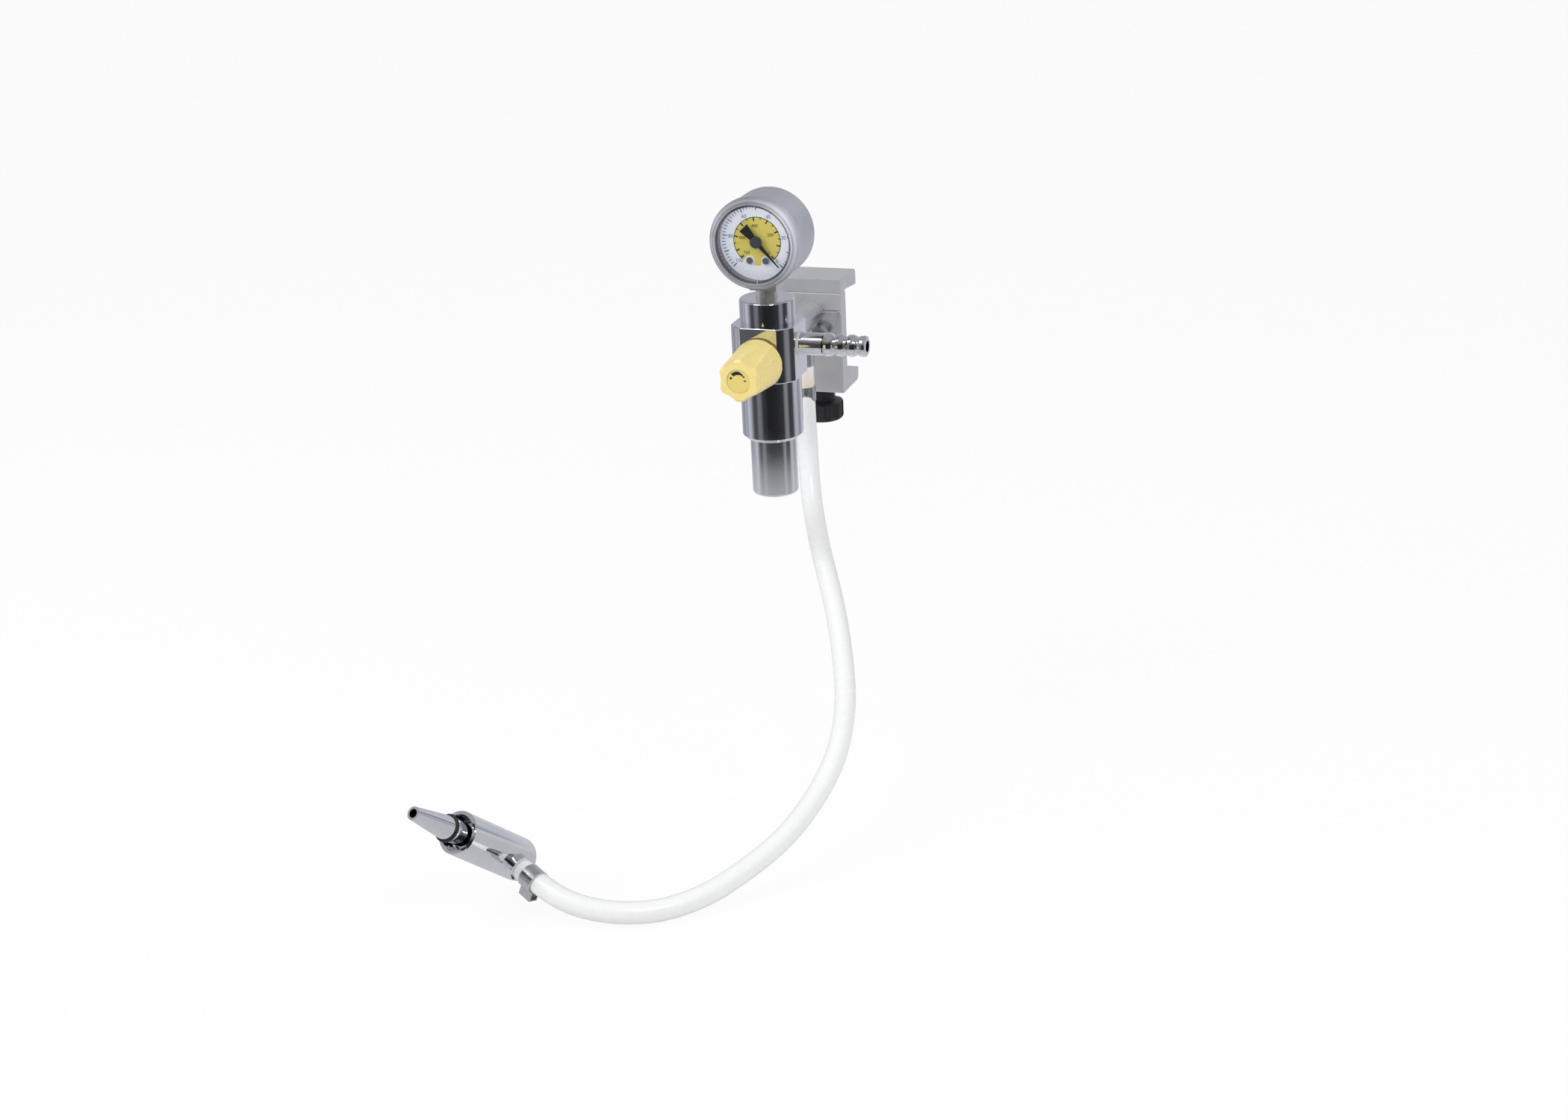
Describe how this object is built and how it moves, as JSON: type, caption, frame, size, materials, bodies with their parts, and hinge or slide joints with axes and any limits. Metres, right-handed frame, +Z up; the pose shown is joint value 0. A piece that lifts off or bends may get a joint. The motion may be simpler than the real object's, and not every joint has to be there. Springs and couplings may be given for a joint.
{
  "type": "vacuum regulator",
  "caption": "Rail-mounted medical vacuum regulator with dial gauge, fluted control knob, side outlet barb, rail clamp and a hose that ends in a wall probe.",
  "frame": {"origin": "middle of the rail clamp's inner front wall, where the front face of the wall rail lies", "axes": "+Z up, the user stands on the -Y side and sees the dial, the rail and the wall are on the +Y side, the outlet barb points along +X"},
  "size_m": [0.1465, 0.2864, 0.2759],
  "materials": {
    "chrome": "polished",
    "satin_steel": "satin",
    "aluminium": "satin anodised",
    "brass": "turned",
    "steel": "plated",
    "clear_plastic": "clear",
    "dial_white": "matte",
    "pointer_grey": "satin",
    "yellow_plastic": "satin moulded",
    "black_plastic": "moulded",
    "black_rubber": "matte",
    "nylon": "natural",
    "felt": "felt",
    "sintered_bronze": "sintered",
    "clear_hose": "translucent"
  },
  "bodies": {
    "regulator": {"valve_block": "chrome", "cap": "chrome", "upper_barrel": "chrome", "lower_barrel": "chrome", "mount_hub": "chrome", "outlet_barb": "chrome", "probe_body": "chrome", "probe_tail": "chrome", "probe_nipple": "chrome", "gauge_case": "satin_steel", "gauge_socket": "brass", "gauge_window": "clear_plastic", "gauge_dial": "dial_white", "dial_screws": "steel", "movement_frame": "brass", "bourdon_tube": "brass", "tip_link": "brass", "gauge_washer": "nylon", "gauge_snubber": "brass", "cap_o_ring": "black_rubber", "barrel_o_ring": "black_rubber", "limiter_o_ring": "black_rubber", "hub_o_ring": "black_rubber", "spindle_o_ring": "black_rubber", "probe_o_ring": "black_rubber", "air_filter": "felt", "probe_filter": "sintered_bronze", "limiter_seat": "brass", "limiter_spring": "steel", "valve_seat": "nylon", "guide_pin": "steel", "gland_nut": "brass", "outlet_washer": "nylon", "hub_screws": "steel", "rail_clamp": "aluminium", "inlet_barb": "brass", "upper_hose_band": "steel", "lower_hose_band": "steel", "hose": "clear_hose"},
    "knob": {"control_knob": "yellow_plastic", "knob_insert": "yellow_plastic", "knob_screw": "steel", "spindle": "brass"},
    "needle": {"needle": "brass"},
    "limiter": {"limiter_poppet": "brass", "poppet_seal": "black_rubber", "spring_nut": "brass"},
    "sector": {"sector_gear": "brass"},
    "pointer": {"gauge_pointer": "pointer_grey", "pinion_arbor": "brass"},
    "pad": {"pressure_pad": "steel"},
    "thumb_screw": {"clamp_stud": "steel", "thumb_knob": "black_plastic"}
  },
  "joints": [
    {"name": "knob_turn", "type": "hinge", "parent": "regulator", "child": "knob", "pos_m": [0, -0.0676, 0.0059], "axis": [0, -1, 0], "range_deg": [0, 540]},
    {"name": "needle_slide", "type": "slide", "parent": "regulator", "child": "needle", "axis": [0, -1, 0], "range_m": [0, 0.0012]},
    {"name": "limiter_lift", "type": "slide", "parent": "regulator", "child": "limiter", "axis": [0, 0, 1], "range_m": [0, 0.0008], "stiffness_N_per_m": 500, "springref_m": -0.0025, "deforming": ["limiter_spring"]},
    {"name": "sector_turn", "type": "hinge", "parent": "regulator", "child": "sector", "pos_m": [-0.0086, -0.0676, 0.05674], "axis": [0, 1, 0], "range_deg": [0, 45], "stiffness_Nm_per_rad": 0.005},
    {"name": "pointer_turn", "type": "hinge", "parent": "regulator", "child": "pointer", "pos_m": [0, -0.0676, 0.0597], "axis": [0, -1, 0], "range_deg": [0, 270]},
    {"name": "pad_slide", "type": "slide", "parent": "regulator", "child": "pad", "axis": [0, 0, -1], "range_m": [0, 0.0097]},
    {"name": "thumb_turn", "type": "hinge", "parent": "pad", "child": "thumb_screw", "pos_m": [0, 0.0062, -0.02], "axis": [0, 0, -1], "range_deg": [0, 2793.6]}
  ],
  "couplings": [
    {"joint": "needle_slide", "follows": "knob_turn", "m_per_rad": 0.00012732},
    {"joint": "pointer_turn", "follows": "sector_turn", "ratio": 6},
    {"joint": "thumb_turn", "follows": "pad_slide", "rad_per_m": 5026.5}
  ]
}
